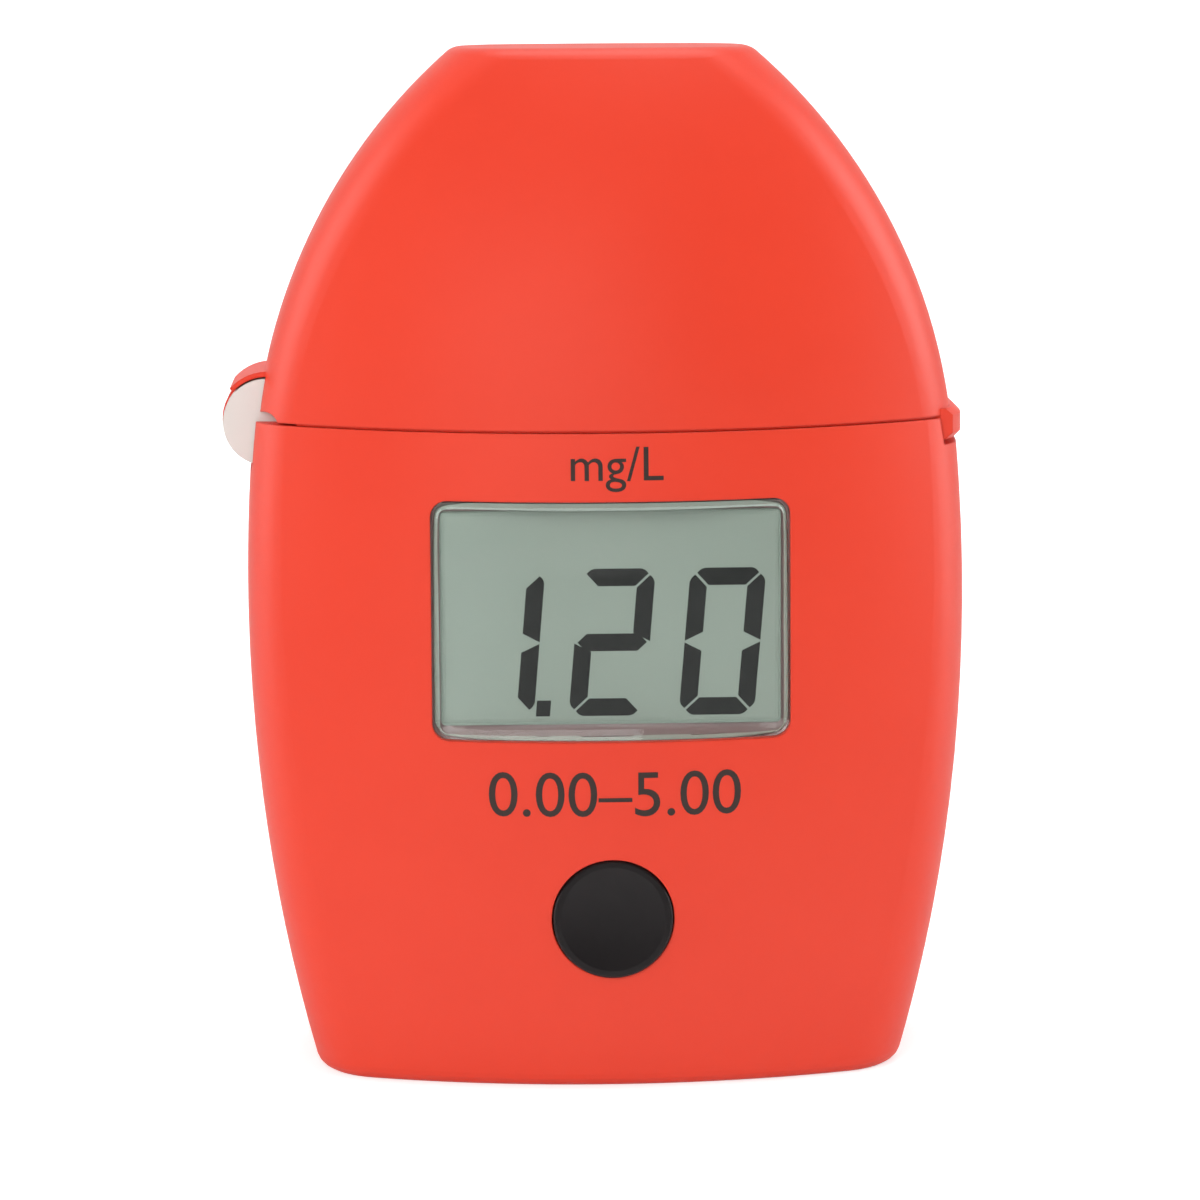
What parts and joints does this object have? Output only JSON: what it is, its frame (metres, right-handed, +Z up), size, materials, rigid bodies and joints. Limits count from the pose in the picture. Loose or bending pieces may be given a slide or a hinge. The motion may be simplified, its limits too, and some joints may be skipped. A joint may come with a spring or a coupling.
{
  "type": "portable colorimeter",
  "caption": "Pocket colorimeter: bowed two-part case, side-hinged domed lid over a cuvette well, display window, round button and cell door.",
  "frame": {"origin": "middle of the flat base, on the surface that it stands on", "axes": "+X to the right seen from the display side, +Y from the display side to the back, +Z up"},
  "size_m": [0.0624, 0.0375, 0.086],
  "materials": {
    "shell_plastic": "satin moulded, orange-red",
    "white_plastic": "satin moulded, warm white",
    "screw_steel": "plated",
    "pin_steel": "ground",
    "window_clear": "clear, polished",
    "display_panel": "grey-green reflective",
    "strip_rubber": "striped elastomer",
    "board_green": "solder mask",
    "chip_black": "moulded",
    "switch_black": "moulded",
    "lamp_plastic": "water clear",
    "detector_metal": "can",
    "filter_glass": "coated",
    "cell_jacket": "dark jacket",
    "contact_steel": "nickel plated",
    "seal_rubber": "soft foam",
    "button_dark": "satin, dark",
    "cuvette_glass": "clear",
    "cap_black": "ribbed",
    "cap_liner": "soft"
  },
  "bodies": {
    "case": {"front_shell": "shell_plastic", "back_shell": "shell_plastic", "case_screws": "screw_steel", "optical_chassis": "white_plastic", "hinge_pin": "pin_steel", "display_window": "window_clear", "display_glass": "display_panel", "display_frame": "white_plastic", "zebra_strips": "strip_rubber", "circuit_board": "board_green", "board_screws": "screw_steel", "board_chips": "chip_black", "tact_switch": "switch_black", "light_source": "lamp_plastic", "colour_filter": "filter_glass", "light_detector": "detector_metal", "battery_tray": "white_plastic", "battery_cell": "cell_jacket", "positive_contact": "contact_steel", "negative_contact": "contact_steel"},
    "lid": {"lid_shell": "shell_plastic", "lid_liner": "white_plastic", "lid_liner_screws": "screw_steel", "light_seal": "seal_rubber"},
    "button": {"button_cap": "button_dark", "switch_plunger": "switch_black"},
    "cuvette": {"cuvette_glass": "cuvette_glass", "cuvette_cap": "cap_black", "cuvette_seal": "cap_liner"},
    "cell_door": {"battery_door": "shell_plastic", "battery_door_screw": "screw_steel"}
  },
  "joints": [
    {"name": "lid_hinge", "type": "hinge", "parent": "case", "child": "lid", "pos_m": [-0.02835, 0, 0.055], "axis": [0, -1, 0], "range_deg": [0, 105]},
    {"name": "button_press", "type": "slide", "parent": "case", "child": "button", "axis": [0, 1, 0], "range_m": [0, 0.0007], "stiffness_N_per_m": 900},
    {"name": "cuvette_lift", "type": "slide", "parent": "case", "child": "cuvette", "axis": [0, 0, 1], "range_m": [0, 0.005]},
    {"name": "cell_door_slide", "type": "slide", "parent": "case", "child": "cell_door", "axis": [0, 1, 0], "range_m": [0, 0.015]}
  ]
}
